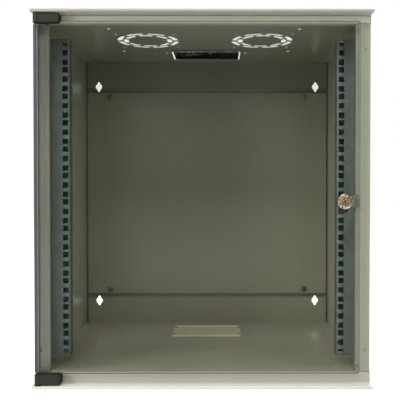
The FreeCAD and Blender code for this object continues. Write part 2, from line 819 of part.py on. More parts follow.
def door_edge_seal():
    """Thin U profile on the pane's hinge edge, between the caps."""
    low = glass_bottom + cap_bottom_grip + seal_end_gap
    high = glass_top - cap_top_grip - seal_end_gap
    left = glass_left - seal_wall
    strip = box(left, glass_left + seal_reach, glass_front_y - seal_wall,
                glass_back_y + seal_wall, low, high)
    edges = [e for e in strip.Edges if abs(e.tangentAt(0).z) > 0.99
             and abs(e.BoundBox.XMin - left) < 1e-6]
    strip = strip.makeFillet(seal_wall * 0.9, edges)
    return strip.cut(box(glass_left, glass_right, glass_front_y, glass_back_y,
                         low - 1, high + 1))


def cap_blank(low, high):
    """Outer form of a hinge cap: a bevelled bar with a round barrel on the pivot."""
    front = glass_front_y - cap_face
    rear = glass_back_y + pad_thickness + cap_rear_lip
    bar = box(pivot_x, cap_right, front, rear, low, high)
    corners = [e for e in bar.Edges if abs(e.tangentAt(0).y) > 0.99
               and e.BoundBox.XMax > cap_right - 1]
    bar = bar.makeFillet(cap_corner, corners)
    rim = [e for e in bar.Edges if abs(e.BoundBox.YMax - front) < 1e-6]
    bar = bar.makeChamfer(cap_chamfer, rim)
    barrel = cylinder(barrel_radius, (pivot_x, pivot_y, low), (0, 0, 1), high - low)
    ends = [e for e in barrel.Edges if e.BoundBox.ZLength < 1e-6]
    barrel = barrel.makeChamfer(cap_chamfer / 2, ends)
    cheek = box(cap_left + cap_chamfer / 2, pivot_x, pivot_y, glass_front_y,
                low + cap_chamfer / 2, high - cap_chamfer / 2)
    rear_end = box(pivot_x - cap_rear_end, pivot_x, glass_front_y, rear,
                   low + cap_chamfer / 2, high - cap_chamfer / 2)
    return joined([bar, barrel, cheek, rear_end])


def glass_pocket(low, high):
    """Room for the pane and its pad in a cap."""
    return box(glass_left - 1, cap_right + 1, glass_front_y - pad_thickness,
               glass_back_y + pad_thickness, low, high)


def rear_room(low, high):
    """Space behind the pane that a cap or its pad leaves free."""
    return box(glass_left - 1, cap_right + 1, glass_back_y, face_y, low, high)


def hinge_cap_top():
    low = glass_top - cap_top_grip
    cap = cap_blank(low, cap_top)
    pocket = glass_pocket(low - 1, glass_top + pad_thickness)
    pin = cylinder(pin_radius, (pivot_x, pivot_y, cap_top - pin_depth_in_cap), (0, 0, 1),
                   pin_depth_in_cap + 1)
    return without(cap, [pocket, rear_room(low - 1, glass_top - cap_top_rear_grip), pin])


def hinge_cap_bottom():
    high = glass_bottom + cap_bottom_grip
    cap = cap_blank(cap_low, high)
    pocket = glass_pocket(glass_bottom - pad_thickness, high + 1)
    pin = cylinder(pin_radius, (pivot_x, pivot_y, cap_low - 1), (0, 0, 1), pin_depth_in_cap + 1)
    return without(cap, [pocket, rear_room(glass_bottom + cap_bottom_rear_grip, high + 1), pin])


def glass_pad(low, high, outward, rear_grip):
    """U-shaped liner between the pane and a cap, closed over the pane's edge."""
    right = cap_right - cap_corner
    closed_low = low - pad_thickness if outward < 0 else low
    closed_high = high + pad_thickness if outward > 0 else high
    pad = box(pivot_x, right, glass_front_y - pad_thickness, glass_back_y + pad_thickness,
              closed_low, closed_high)
    pane = box(pivot_x - 1, right + 1, glass_front_y, glass_back_y,
               low - (outward > 0), high + (outward < 0))
    open_low, open_high = (low - 1, high - rear_grip) if outward > 0 else (low + rear_grip, high + 1)
    return pad.cut([pane, rear_room(open_low, open_high)])


def hinge_pin(cap_end, plate_end, inward):
    """Pin from inside a cap to the far side of the roof or base lip."""
    inner = cap_end + inward * pin_depth_in_cap
    outer = plate_end + inward * pin_end_gap
    low, high = sorted((inner, outer))
    pin = cylinder(pin_radius, (pivot_x, pivot_y, low), (0, 0, 1), high - low)
    tip = [e for e in pin.Edges if e.BoundBox.ZLength < 1e-6
           and abs(e.BoundBox.ZMin - outer) < 1e-6]
    return pin.makeChamfer(pin_radius * 0.15, tip)


def hinge_bush(plate_face, plate_end, cap_end, inward):
    """Flanged bush in the roof or base lip, with the flange towards the cap."""
    flange_end = cap_end - inward * bush_running_gap
    low, high = sorted((plate_face, flange_end))
    flange = cylinder(bush_flange_radius, (pivot_x, pivot_y, low), (0, 0, 1), high - low)
    low, high = sorted((plate_face, plate_end))
    sleeve = cylinder(pin_radius + pin_clearance + bush_wall, (pivot_x, pivot_y, low),
                      (0, 0, 1), high - low)
    bush = joined([flange, sleeve])
    bore = cylinder(pin_radius + pin_clearance, (pivot_x, pivot_y, min(plate_end, flange_end) - 1),
                    (0, 0, 1), abs(plate_end - flange_end) + 2)
    return without(bush, [bore])


# ---------------------------------------------------------------- lock
bezel_back = glass_front_y - gasket_height
nut_front = glass_back_y + washer_height
barrel_back = nut_front + lock_nut_height + 0.5
plug_front = bezel_back - bezel_height - 0.2
cam_front = barrel_back + cam_gap


def along_y(radius, y0, y1):
    return cylinder(radius, (lock_x, y0, lock_z), (0, 1, 0), y1 - y0)


def lock_body():
    """Bezel and barrel turned in one piece, bored for the plug."""
    bezel = along_y(bezel_radius, bezel_back - bezel_height, bezel_back)
    rim = [e for e in bezel.Edges if e.BoundBox.YLength < 1e-6
           and abs(e.BoundBox.YMin - (bezel_back - bezel_height)) < 1e-6]
    bezel = bezel.makeFillet(bezel_height * 0.6, rim)
    barrel = along_y(lock_barrel_radius, bezel_back, barrel_back)
    bore = along_y(plug_radius + plug_clearance, bezel_back - bezel_height - 1, barrel_back + 1)
    seat = along_y(plug_head_radius + plug_head_gap, bezel_back - bezel_height - 1,
                   plug_front + plug_head_height + plug_head_gap)
    return without(joined([bezel, barrel]), [bore, seat])


def lock_gasket():
    ring = along_y(bezel_radius - 1, bezel_back, glass_front_y)
    return ring.cut(along_y(lock_barrel_radius, bezel_back - 1, glass_front_y + 1))


def lock_washer():
    ring = along_y(bezel_radius, glass_back_y, nut_front)
    return ring.cut(along_y(lock_barrel_radius, glass_back_y - 1, nut_front + 1))


def lock_nut():
    nut = hexagon(lock_nut_flats, (lock_x, nut_front, lock_z), "y", lock_nut_height)
    return nut.cut(along_y(lock_barrel_radius, nut_front - 1, nut_front + lock_nut_height + 1))


def lock_plug():
    """Turning core with a head, a key slot and a square tail for the cam."""
    head = along_y(plug_head_radius, plug_front, plug_front + plug_head_height)
    core = along_y(plug_radius, plug_front, barrel_back)
    side = cam_square / 2
    tail = box(lock_x - side, lock_x + side, barrel_back, cam_front + cam_thickness,
               lock_z - side, lock_z + side)
    wide, tall, deep = key_slot
    slot = box(lock_x - wide / 2, lock_x + wide / 2, plug_front - 1, plug_front + deep,
               lock_z - tall / 2, lock_z + tall / 2)
    return without(joined([head, core, tail]), [slot])


def lock_cam():
    """Flat cam hanging down from the plug's square, clear of the strike."""
    round_end = cam_width / 2
    y1 = cam_front + cam_thickness
    hub = along_y(round_end, cam_front, y1)
    arm = box(lock_x - round_end, lock_x + round_end, cam_front, y1,
              lock_z, lock_z - cam_reach)
    corners = [e for e in arm.Edges if abs(e.tangentAt(0).y) > 0.99
               and e.BoundBox.ZMax < lock_z - cam_reach + 1e-6]
    arm = arm.makeFillet(round_end * 0.4, corners)
    side = cam_square / 2
    square = box(lock_x - side, lock_x + side, cam_front - 1, y1 + 1, lock_z - side, lock_z + side)
    return without(joined([hub, arm]), [square])


def cam_screw():
    start = cam_front + cam_thickness
    head = along_y(cam_screw_radius, start, start + cam_screw_height)
    slot = box(lock_x - cam_screw_radius, lock_x + cam_screw_radius,
               start + cam_screw_height / 2, start + cam_screw_height + 1,
               lock_z - 0.5, lock_z + 0.5)
    return head.cut(slot)


def write(name, shape):
    shape.exportStep(os.path.join("parts", name + ".step"))


def main():
    os.makedirs("parts", exist_ok=True)
    side = side_panel_right()
    rail = rack_rail_right()
    rear_share = 1 - bristle_front_share
    pieces = {
        "roof_panel": roof_panel(),
        "base_panel": base_panel(),
        "side_panel_right": side,
        "side_panel_left": mirror_x(side),
        "front_top_rail": front_top_rail(),
        "front_bottom_rail": front_bottom_rail(),
        "rear_top_member": rear_member(panel_top, roof_under, 1),
        "rear_bottom_member": rear_member(panel_bottom, floor_height, -1),
        "rear_panel": rear_panel(),
        "rear_panel_screws": rear_panel_screws(),
        "rack_rail_right": rail,
        "rack_rail_left": mirror_x(rail),
        "rail_bolts": rail_bolts(),
        "rail_nuts": rail_nuts(),
        "brush_holder_front": brush_holder(entry_front_y, 1),
        "brush_holder_rear": brush_holder(entry_back_y, -1),
        "brush_bristles_front": bristles(entry_front_y, 1, bristle_front_share),
        "brush_bristles_rear": bristles(entry_back_y, -1, rear_share),
        "floor_cover": floor_cover(),
        "floor_cover_screws": floor_cover_screws(),
        "bracket_studs": bracket_studs(),
        "bracket_nuts": bracket_nuts(),
        "door_edge_seal": door_edge_seal(),
        "flange_studs": flange_studs(),
        "door_buffers": door_buffers(),
        "strike_plate": strike_plate(),
        "strike_rivets": strike_rivets(),
        "door_glass": door_glass(),
        "hinge_cap_top": hinge_cap_top(),
        "hinge_cap_bottom": hinge_cap_bottom(),
        "glass_pad_top": glass_pad(glass_top - cap_top_grip, glass_top, 1,
                                  cap_top_rear_grip),
        "glass_pad_bottom": glass_pad(glass_bottom, glass_bottom + cap_bottom_grip, -1,
                                     cap_bottom_rear_grip),
        "hinge_pin_top": hinge_pin(cap_top, height, -1),
        "hinge_pin_bottom": hinge_pin(cap_low, 0, 1),
        "hinge_bush_top": hinge_bush(roof_under, height - bush_recess, cap_top, -1),
        "hinge_bush_bottom": hinge_bush(lip_thickness, bush_recess, cap_low, 1),
        "lock_body": lock_body(),
        "lock_gasket": lock_gasket(),
        "lock_washer": lock_washer(),
        "lock_nut": lock_nut(),
        "lock_plug": lock_plug(),
        "lock_cam": lock_cam(),
        "cam_screw": cam_screw(),
    }
    for name, middle in zip(("low", "high"), bracket_middles()):
        bracket = rail_bracket_right(middle)
        pieces["rail_bracket_right_" + name] = bracket
        pieces["rail_bracket_left_" + name] = mirror_x(bracket)
    for name, shape in pieces.items():
        write(name, shape)
        box_size = shape.BoundBox
        print("%-26s solids %2d valid %s volume %9.1f  x %7.1f %7.1f  y %7.1f %7.1f  z %6.1f %6.1f"
              % (name, len(shape.Solids), shape.isValid(), shape.Volume, box_size.XMin,
                 box_size.XMax, box_size.YMin, box_size.YMax, box_size.ZMin, box_size.ZMax))


main()
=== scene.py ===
"""Looks of the wall mount network cabinet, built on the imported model's frame."""
import bpy
import math
import random
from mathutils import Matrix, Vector


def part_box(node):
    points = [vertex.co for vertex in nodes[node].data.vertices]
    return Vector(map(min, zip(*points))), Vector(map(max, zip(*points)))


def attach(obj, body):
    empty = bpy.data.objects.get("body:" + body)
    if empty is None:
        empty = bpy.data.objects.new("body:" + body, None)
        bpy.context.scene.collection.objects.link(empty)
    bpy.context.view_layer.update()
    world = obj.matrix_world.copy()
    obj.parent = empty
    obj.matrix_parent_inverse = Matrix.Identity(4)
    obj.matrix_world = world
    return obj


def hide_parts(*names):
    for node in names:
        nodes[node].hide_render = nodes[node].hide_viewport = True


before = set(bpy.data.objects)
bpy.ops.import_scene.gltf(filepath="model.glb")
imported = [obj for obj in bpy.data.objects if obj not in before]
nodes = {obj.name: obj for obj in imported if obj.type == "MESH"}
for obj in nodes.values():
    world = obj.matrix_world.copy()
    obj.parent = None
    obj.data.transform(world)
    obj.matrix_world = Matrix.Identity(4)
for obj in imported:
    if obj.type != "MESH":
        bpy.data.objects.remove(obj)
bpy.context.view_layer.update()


# ---------------------------------------------------------------- colour
def linear(r, g, b):
    """Scene colour for a display colour of 0 to 255."""
    def one(v):
        v /= 255.0
        return v / 12.92 if v <= 0.04045 else ((v + 0.055) / 1.055) ** 2.4
    return (one(r), one(g), one(b), 1.0)


def tones(colour, amount):
    """Darker and lighter neighbours of a linear colour."""
    low = tuple(c * (1 - amount) for c in colour[:3]) + (1,)
    high = tuple(min(1.0, c * (1 + amount)) for c in colour[:3]) + (1,)
    return low, high


# ---------------------------------------------------------------- node helpers
noise_low, noise_high = 0.3, 0.7     # the part of a noise's range that is laid out


class Graph:
    """Small helper round one node tree."""

    def __init__(self, tree):
        self.tree = tree
        tree.nodes.clear()

    def link(self, output, socket):
        self.tree.links.new(output, socket)

    def feed(self, source, socket):
        """Link an output to a socket, or set the socket to a plain value."""
        if hasattr(source, "is_linked"):
            self.link(source, socket)
        else:
            socket.default_value = source

    def node(self, kind, **values):
        """A node with its settings and the plain values of its sockets."""
        n = self.tree.nodes.new(kind)
        for key, value in values.items():
            if hasattr(n, key):
                setattr(n, key, value)
            else:
                n.inputs[key.replace("_", " ")].default_value = value
        return n

    def calc(self, operation, *sources):
        """The result of one sum on outputs and plain numbers."""
        n = self.node("ShaderNodeMath", operation=operation)
        for source, socket in zip(sources, n.inputs):
            self.feed(source, socket)
        return n.outputs[0]

    def blend(self, factor, first, second):
        """The first shader where the factor is 0, the second where it is 1."""
        n = self.node("ShaderNodeMixShader")
        for source, socket in zip((factor, first, second), n.inputs):
            self.link(source, socket)
        return n.outputs[0]


class Shader(Graph):
    """One material's node tree, with its textures in the object's own coordinates."""

    def __init__(self, name):
        self.material = bpy.data.materials.new(name)
        self.material.use_nodes = True
        super().__init__(self.material.node_tree)
        self.out = self.node("ShaderNodeOutputMaterial")
        self.place = self.node("ShaderNodeTexCoord").outputs["Object"]

    def axis(self, letter):
        """X, Y or Z of the place on the object."""
        n = self.node("ShaderNodeSeparateXYZ")
        self.link(self.place, n.inputs[0])
        return n.outputs[letter]

    def noise(self, scale=1.0, detail=3.0, stretch=None, roughness=0.55):
        """Noise of one scale, or with a scale of its own along each axis."""
        n = self.node("ShaderNodeTexNoise", Scale=scale, Detail=detail, Roughness=roughness)
        place = self.place
        if stretch:
            m = self.node("ShaderNodeMapping", Scale=stretch)
            self.link(place, m.inputs["Vector"])
            place = m.outputs["Vector"]
        self.link(place, n.inputs["Vector"])
        return n.outputs["Fac"]

    def ramp(self, source, stops):
        """Colours at places between 0 and 1, blended between them."""
        n = self.node("ShaderNodeValToRGB")
        elements = n.color_ramp.elements
        while len(elements) < len(stops):
            elements.new(0.5)
        for e, (at, colour) in zip(elements, stops):
            e.position = at
            e.color = colour if len(colour) == 4 else (*colour, 1)
        self.link(source, n.inputs["Fac"])
        return n.outputs["Color"]

    def between(self, noise, first, second):
        """One colour at the low end of a noise, the other at its high end."""
        return self.ramp(noise, [(noise_low, first), (noise_high, second)])

    def remap(self, source, start, end, low=0.0, high=1.0):
        """Low where the source is at its start, high where it is at its end."""
        n = self.node("ShaderNodeMapRange", From_Min=start, From_Max=end,
                      To_Min=low, To_Max=high)
        self.link(source, n.inputs["Value"])
        return n.outputs["Result"]

    def spread(self, noise, low, high):
        """A number that follows a noise from low to high."""
        return self.remap(noise, noise_low, noise_high, low, high)

    def multiplied(self, factor, base, colour):
        """A colour multiplied by another, by so much of a factor."""
        n = self.node("ShaderNodeMix", data_type="RGBA", blend_type="MULTIPLY")
        for source, at in ((factor, 0), (base, 6), (colour, 7)):
            self.feed(source, n.inputs[at])
        return n.outputs[2]

    def bump(self, source, strength, distance):
        n = self.node("ShaderNodeBump", Strength=strength, Distance=distance)
        self.link(source, n.inputs["Height"])
        return n.outputs["Normal"]

    def zone(self, **reach):
        """1 inside a box of the object, 0 outside; "ax" is the distance from the middle plane."""
        whole = None
        for axis, (low, high) in reach.items():
            source = self.axis(axis[-1].upper())
            if axis == "ax":
                source = self.calc("ABSOLUTE", source)
            near = self.calc("COMPARE", source, (low + high) / 2, (high - low) / 2)
            whole = near if whole is None else self.calc("MULTIPLY", whole, near)
        return whole

    def toned(self, base, zones):
        """A colour multiplied by each zone's tone, full at once or along a fade."""
        for tone, reach in zones:
            tone = tone if isinstance(tone, tuple) else (tone, tone, tone)
            factor = self.zone(**{k: v for k, v in reach.items() if k != "fade"})
            if "fade" in reach:
                letter, start, end = reach["fade"]
                along = self.remap(self.axis(letter), start, end)
                factor = self.calc("MULTIPLY", factor, along)
            base = self.multiplied(factor, base, (*tone, 1))
        return base

    def surface(self, colour, roughness, normal=None, **fixed):
        p = self.node("ShaderNodeBsdfPrincipled", **fixed)
        self.link(colour, p.inputs["Base Color"])
        self.feed(roughness, p.inputs["Roughness"])
        if normal is not None:
            self.link(normal, p.inputs["Normal"])
        self.link(p.outputs["BSDF"], self.out.inputs["Surface"])
        return p


# ---------------------------------------------------------------- kinds of material
# Lengths are in metres, and a noise's scale is in cells to the metre.
def powder_coat(name, colour, gloss=0.31, mottle=0.03, zones=(), **fixed):
    """Powder coat with faint clouding, fine specks and orange peel."""
    s = Shader(name)
    cloud = s.between(s.noise(6.0, detail=4.0), *tones(colour, mottle))
    speck = s.ramp(s.noise(2400.0, detail=1.0), [(0.36, (0.97, 0.97, 0.97)), (0.5, (1, 1, 1))])
    base = s.toned(s.multiplied(1.0, cloud, speck), zones)
    peel = s.bump(s.noise(900.0, detail=2.0), strength=0.3, distance=0.00005)
    rough = s.spread(s.noise(22.0), gloss - 0.03, gloss + 0.04)
    s.surface(base, rough, peel, **fixed)
    return s.material


def plated(name, colour, gloss, stretch, grain=0.08, metallic=1.0, zones=()):
    """Metal with fine drawn or rolled grain and faint stains."""
    s = Shader(name)
    lines = s.noise(stretch=stretch)
    drawn = s.between(lines, *tones(colour, grain))
    stain = s.ramp(s.noise(55.0, detail=4.0), [(0.35, (0.86, 0.86, 0.85)), (0.6, (1, 1, 1))])
    base = s.toned(s.multiplied(1.0, drawn, stain), zones)
    rough = s.spread(lines, gloss - 0.05, gloss + 0.06)
    s.surface(base, rough, s.bump(lines, strength=0.25, distance=0.00003), Metallic=metallic)
    return s.material


def moulded(name, colour, gloss, sheen=0.0, zones=()):
    """Moulded plastic or rubber with a spark-eroded skin."""
    s = Shader(name)
    base = s.toned(s.between(s.noise(60.0), *tones(colour, 0.12)), zones)
    skin = s.bump(s.noise(1800.0, detail=2.0), strength=0.4, distance=0.00004)
    rough = s.spread(s.noise(140.0, detail=2.0), gloss - 0.05, gloss + 0.06)
    s.surface(base, rough, skin, Sheen_Weight=sheen)
    return s.material


def stained_and_glinting(name, dark, mid, light, gloss, scale):
    """Handled metal: light and dark patches that are partly wear and stains and partly painted
    highlights and reflections, and fine scratches.
    """
    s = Shader(name)
    patch = s.noise(scale, detail=4.0, roughness=0.7)
    base = s.ramp(patch, [(0.36, dark), (0.52, mid), (0.68, light)])
    lines = s.noise(detail=2.0, stretch=(900.0, 60.0, 2600.0))
    scratch = s.bump(lines, strength=0.3, distance=0.00003)
    s.surface(base, s.spread(patch, gloss + 0.12, gloss - 0.04), scratch, Metallic=1.0)
    return s.material


def fibres(name, colour, shine):
    """Nylon bristle: each strand a little different along and across."""
    s = Shader(name)
    lines = s.noise(detail=2.0, stretch=(2600.0, 60.0, 900.0))
    s.surface(s.between(lines, *tones(colour, 0.45)), 0.6, Specular_IOR_Level=shine)
    return s.material


def pane(name, tint):
    """Tinted clear pane: a mirror film where light enters it, and smeared ground edges, with
    painted shade along the bottom one.
    """
    s = Shader(name)
    clear = s.node("ShaderNodeBsdfTransparent")
    s.link(s.between(s.noise(9.0), *tones(tint, 0.012)), clear.inputs["Color"])
    mirror = s.node("ShaderNodeBsdfGlossy", Roughness=0.02, Color=(1, 1, 1, 1))
    fresnel = s.node("ShaderNodeFresnel", IOR=1.1).outputs["Fac"]
    entering = s.calc("SUBTRACT", 1.0, s.node("ShaderNodeNewGeometry").outputs["Backfacing"])
    film = s.calc("MULTIPLY", fresnel, entering)
    flat = s.blend(film, clear.outputs["BSDF"], mirror.outputs["BSDF"])

    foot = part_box("door_glass")[0][2]
    # Painted shade on the pane's bottom edge.
    foot_edge_shade = (0.5, dict(z=(foot - 0.001, foot + 0.001)))
    smear = s.between(s.noise(300.0, detail=2.0), linear(128, 136, 124), linear(150, 158, 146))
    rim = s.node("ShaderNodeBsdfPrincipled", Roughness=0.25)
    s.link(s.toned(smear, [foot_edge_shade]), rim.inputs["Base Color"])

    normal = s.node("ShaderNodeSeparateXYZ")
    s.link(s.node("ShaderNodeTexCoord").outputs["Normal"], normal.inputs[0])
    on_flat = s.calc("GREATER_THAN", s.calc("ABSOLUTE", normal.outputs["Y"]), 0.9)
    s.link(s.blend(on_flat, rim.outputs["BSDF"], flat), s.out.inputs["Surface"])
    return s.material


# ---------------------------------------------------------------- painted shade and light by place
# A zone is a tone of painted shade or painted light, and the box of the object whose
# surfaces it multiplies. The limits of the inner faces lie within the sheets, so the
# outer faces keep their tone.
half_sheet = 0.0006
inner_side = 0.2694
inner_rear = 0.1972
inner_top = 0.5956
floor_level = (0.0142, 0.0156)

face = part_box("side_panel_left")[0][1]
within = dict(ax=(0, inner_side), y=(face + half_sheet, inner_rear))
on_floor = {**within, "z": floor_level}
lips = (-0.201, face - 0.0004)
# Painted shade and light on the roof and base sheets: the inside a little darker and warmer, the
# inner floor darker towards the rear and lighter towards the front, the roof's front lip darker,
# the base's front lip lighter, and the roof's underside darker towards the back.
inside = ((1.0, 0.975, 0.955), {**within, "z": (floor_level[0], inner_top)})
ground = ((1.0, 0.97, 0.92), on_floor)
ground_rear_shade = (0.86, {**on_floor, "fade": ("Y", 0.0, 0.19)})
ground_front_light = (1.25, {**on_floor, "fade": ("Y", -0.02, -0.17)})
roof_lip_shade = ((0.86, 0.85, 0.8), dict(y=lips, z=(0.58, 0.601)))
base_lip_light = ((1.43, 1.46, 1.52), dict(y=lips, z=(-0.001, 0.0065)))
under_roof_shade = (0.68, dict(y=(-0.17, inner_rear), z=(0.59, inner_top), fade=("Y", -0.26, 0.15)))
plate_painted_light = [inside, ground, ground_rear_shade, ground_front_light, roof_lip_shade, base_lip_light, under_roof_shade]

flange_face = (face - 0.0005, face + half_sheet)
left_flange = dict(x=(-0.2625, -0.2455), y=flange_face)
# Painted shade and light on the side sheets: the inside a little darker and warmer; a painted
# shadow in the rear seams and on the front flanges' returns; the inner walls lighter, darker
# towards the top, the right one lighter still; on the left flange painted light on its outer part
# and painted shade on its inner edge and towards its top; the right flange darker, with a painted
# shadow line at its inner edge.
seam_shadow = (0.35, dict(ax=(0.2625, inner_side), y=(0.1950, 0.1971)))
return_shade = (0.5, dict(ax=(0.2, 0.2475), y=(face + 0.0014, face + 0.011)))
wall = (1.2, within)
wall_top_shade = (0.8, {**within, "fade": ("Z", 0.42, 0.58)})
right_wall_light = (1.1, dict(x=(0.26, inner_side), y=within["y"]))
left_outer_light = (1.25, {**left_flange, "fade": ("X", -0.249, -0.260)})
left_lip_shade = (0.8, dict(x=(-0.2580, -0.2455), y=flange_face, fade=("X", -0.258, -0.251)))
left_top_shade = (0.65, {**left_flange, "fade": ("Z", 0.40, 0.575)})
left_length_shade = (0.85, {**left_flange, "fade": ("Z", 0.10, 0.575)})
right_flange_shade = ((0.88, 0.92, 0.81), dict(x=(0.24, 0.271), y=flange_face))
right_edge_shadow = (0.42, dict(x=(0.2444, 0.2468), y=flange_face))
side_painted_light = [inside, seam_shadow, return_shade, wall, wall_top_shade, right_wall_light, left_outer_light, left_lip_shade,
              right_flange_shade, right_edge_shadow, left_top_shade, left_length_shade]

panel_low, panel_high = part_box("rear_panel")
panel_foot, panel_head = panel_low[2], panel_high[2]
rear_face = (0.19, 0.1941)
rear_sheets = (0.19, 0.1966)
# Painted shade at the rear: the inner faces of the panel and members darker and warmer, the panel
# darker towards its top, the top member darker still, and painted shadows along the panel's upper
# and lower edges.
rear_face_shade = ((0.95, 0.925, 0.87), dict(y=rear_face))
panel_top_shade = (0.78, dict(y=rear_face, fade=("Z", 0.38, 0.54)))
member_painted_shade = [
    rear_face_shade,
    (0.56, dict(z=(panel_head, 0.6))),
    (0.66, dict(z=(panel_head - 0.01, panel_head + 0.0110), y=rear_sheets)),
    (0.55, dict(z=(panel_head - 0.01, panel_head + 0.0048), y=rear_sheets)),
    (0.75, dict(z=(panel_foot - 0.0110, panel_foot + 0.01), y=rear_sheets)),
    (0.5, dict(z=(panel_foot - 0.0075, panel_foot + 0.01), y=rear_sheets)),
]

rail_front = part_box("rack_rail_left")[0][1]
rail_rear = 0.2
rail_face = (rail_front - 0.001, rail_front + 0.0025)
left_rail = dict(x=(-0.258, -0.2), y=(rail_face[0], rail_rear))
right_rail = dict(x=(0.2, 0.258), y=(rail_face[0], rail_rear))
right_band = dict(x=(0.232, 0.258), y=(rail_face[0], rail_rear))
# Painted shade and light on the rails: everything behind the front faces darker, a painted shadow
# line along each face's inner edge, the right rail's outer band darker inwards and lighter at its
# edge, the left rail lighter towards its outer edge, and both rails darker towards the top.
rail_painted_shade_and_light = [
    (0.6, dict(y=(rail_face[1], rail_rear))),
    (0.6, dict(x=(-0.2275, -0.2245), y=rail_face)),
    (0.7, dict(x=(0.2245, 0.2275), y=rail_face)),
    (0.72, {**right_band, "fade": ("X", 0.252, 0.236)}),
    (1.12, {**right_band, "fade": ("X", 0.244, 0.256)}),
    (1.16, {**left_rail, "fade": ("X", -0.236, -0.256)}),
    (0.75, {**left_rail, "fade": ("Z", 0.42, 0.56)}),
    (0.75, {**right_rail, "fade": ("Z", 0.485, 0.565)}),
]

cover_low, cover_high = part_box("floor_cover")
# Painted highlights along the floor cover's front and rear edges.
cover_edge_highlights = [(1.14, dict(y=(cover_low[1] - 0.001, cover_low[1] + 0.009))),
                (1.14, dict(y=(cover_high[1] - 0.012, cover_high[1] + 0.001)))]
# Painted light on the door seal: its outer edge lighter and its inner part far lighter.
seal_painted_light = [(1.6, dict(ax=(0.2666, 0.28))), (4.2, dict(ax=(0.25, 0.2632)))]


def cap_shade_and_glint(cap):
    """Painted shade on a door cap's rounded edges, and a painted glint under the front's upper
    edge.
    """
    (x0, y0, z0), (x1, y1, z1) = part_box(cap)
    over, rim = 0.0005, 0.0016
    edges = [dict(z=(z0 - over, z0 + rim)), dict(z=(z1 - rim, z1 + over)),
             dict(x=(x1 - 0.002, x1 + over)), dict(x=(x0 - over, x0 + 0.0014))]
    zones = [(0.35, {"z": (z0 - 0.001, z1 + 0.001), **edge}) for edge in edges]
    glint = (1.5, dict(z=(z1 - 2 * rim, z1 - rim), y=(y0 - 0.001, y0 + 0.0008)))
    return zones + [glint]


# ---------------------------------------------------------------- the cabinet's materials
# The side sheets, the rear panel and the rear members take darker copies of the light grey coat,
# and the front top rail a lighter one: painted shade and painted light on one coat.
rear_shaded_grey = linear(184, 180, 165)
along_z = (60.0, 60.0, 900.0)
along_x = (60.0, 900.0, 900.0)
turned = (500.0, 500.0, 90.0)

coat = powder_coat("light_grey_coat", linear(196, 194, 181), zones=plate_painted_light)
side_shaded_coat = powder_coat("light_grey_coat_sides_shaded", linear(179, 177, 165), zones=side_painted_light)
top_rail_lit_coat = powder_coat("light_grey_coat_front_lit", linear(219, 216, 198))
rear_coat = powder_coat("grey_coat_rear_shaded", rear_shaded_grey, zones=[rear_face_shade, panel_top_shade])
member_coat = powder_coat("grey_coat_members_shaded", rear_shaded_grey, zones=member_painted_shade)
rail_coat = plated("rail_zinc", linear(146, 155, 153), 0.42, along_z, 0.05, 0.25, rail_painted_shade_and_light)
cream = powder_coat("cream_coat", linear(238, 228, 200), zones=cover_edge_highlights)
zinc = plated("zinc", linear(176, 174, 164), 0.34, turned)
dark_zinc = plated("dark_zinc", linear(150, 146, 130), 0.24, turned, 0.3, 0.85)
strike_zinc = plated("strike_zinc", linear(142, 147, 134), 0.45, turned, 0.1, 0.35)
steel = plated("dark_steel", linear(62, 64, 58), 0.45, turned, 0.15, 0.5)
# The flange studs take the cabinet's coat painted darker: painted shade.
stud_shaded_coat = powder_coat("stud_shaded_coat", linear(150, 147, 134), 0.4)
clear_rubber = moulded("clear_rubber", linear(150, 152, 146), 0.3, 0.1)
# Light and dark patches on the lock's bezel and plug are partly painted highlights and
# reflections.
nickel = stained_and_glinting("nickel", linear(70, 66, 54), linear(142, 136, 118),
                 linear(222, 218, 204), gloss=0.2, scale=240.0)
brass = stained_and_glinting("brass_worn_and_glinting", linear(66, 50, 36), linear(126, 104, 78),
                linear(200, 176, 136), gloss=0.22, scale=420.0)
aluminium = plated("mill_aluminium", linear(170, 170, 165), 0.38, along_x)
black_cast = powder_coat("black_cast", linear(36, 36, 31), 0.55, 0.08,
                         cap_shade_and_glint("hinge_cap_top") + cap_shade_and_glint("hinge_cap_bottom"),
                         Specular_IOR_Level=0.25)
rubber = moulded("black_rubber", linear(34, 34, 33), 0.62, 0.2)
seal_rubber = moulded("seal_rubber", linear(62, 63, 58), 0.5, 0.1, seal_painted_light)
nylon = moulded("black_nylon", linear(30, 30, 30), 0.45)
glass = pane("smoked_glass", (0.868, 0.889, 0.868, 1))
# The front row is the rear row's black nylon painted grey-brown: painted light where light falls
# on it.
bristle_black = fibres("bristle_black", linear(22, 13, 9), 0.03)
bristle_painted_lit = fibres("bristle_painted_lit", linear(122, 104, 88), 0.04)

